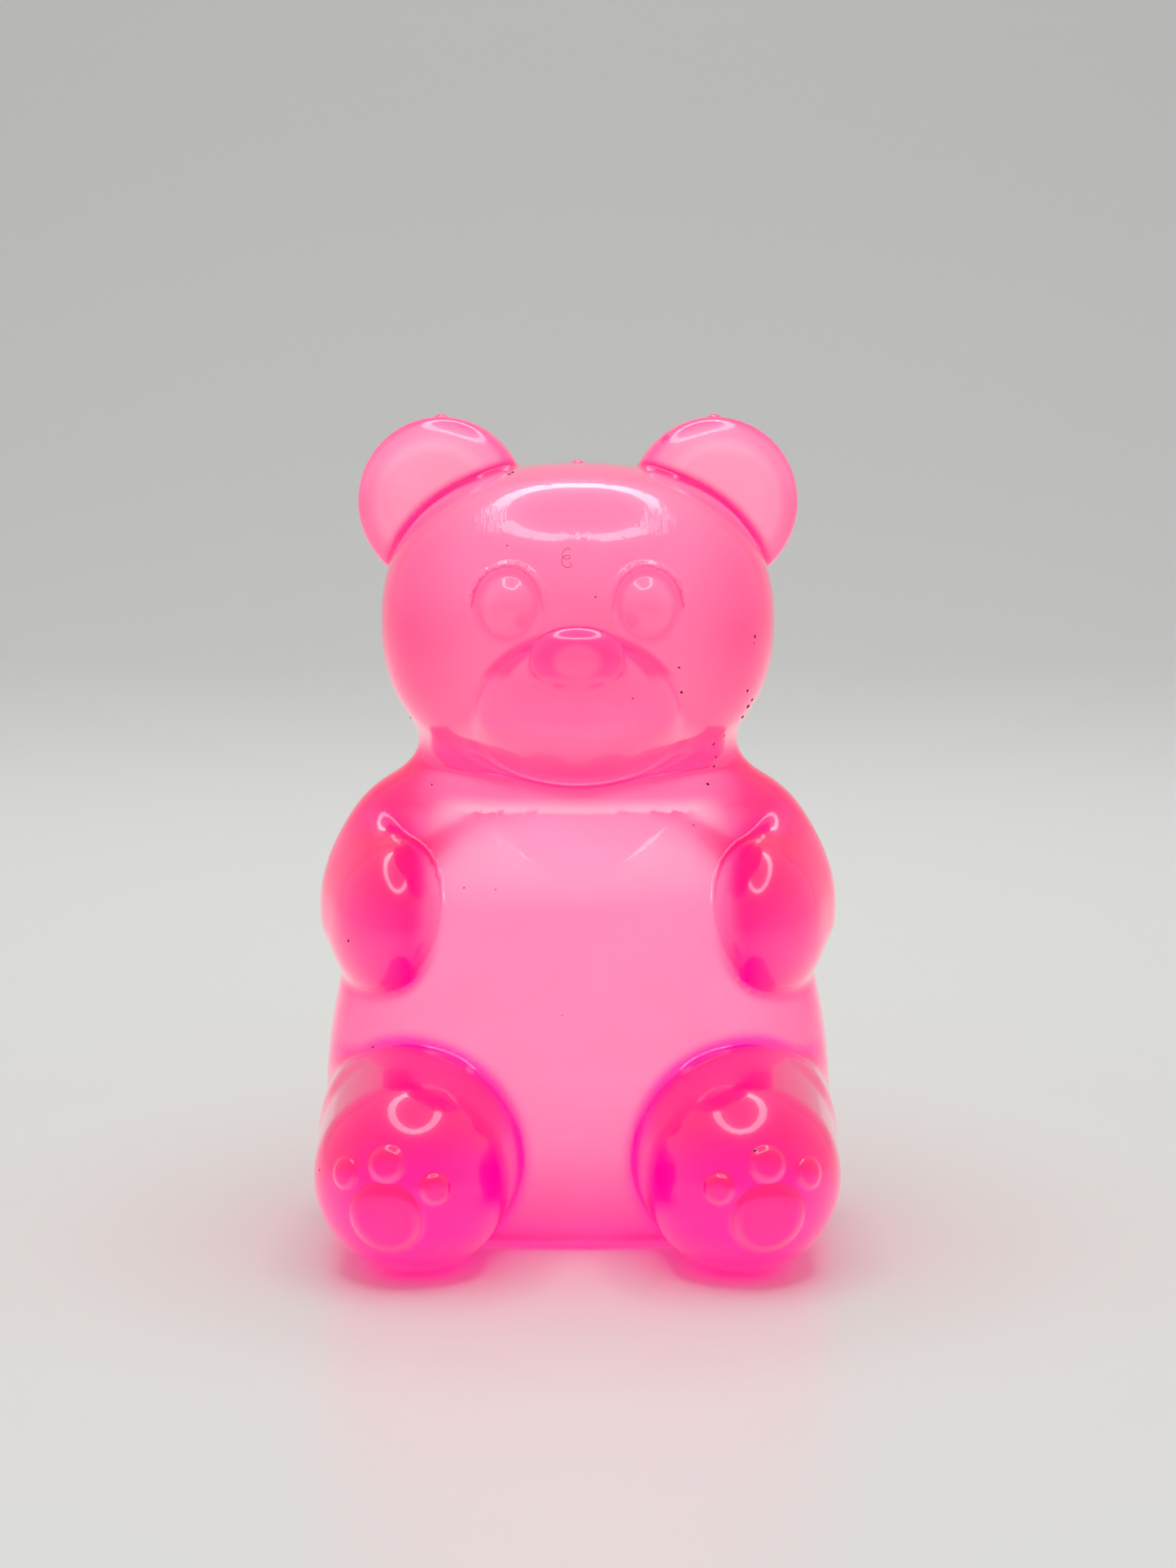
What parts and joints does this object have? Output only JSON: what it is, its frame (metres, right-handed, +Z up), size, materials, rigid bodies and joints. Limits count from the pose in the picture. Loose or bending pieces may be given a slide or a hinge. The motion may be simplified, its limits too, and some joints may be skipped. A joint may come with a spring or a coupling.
{
  "type": "toy gummy bear",
  "caption": "Seated bear figure of clear pink gel with round dished ears, a broad snout, short arms and turned-out feet with toe pads, resting on a flat underside.",
  "frame": {"origin": "middle of the bounding box, on the surface that the bear sits on", "axes": "+Z up through the head, -Y out of the bear's face towards its toes, +X to the right of a viewer in front"},
  "size_m": [0.0314, 0.0294, 0.0496],
  "materials": {
    "pink_gel": "wet gloss, translucent bright pink, as moulded"
  },
  "bodies": {
    "root": {"gummy_bear": "pink_gel"}
  },
  "joints": []
}
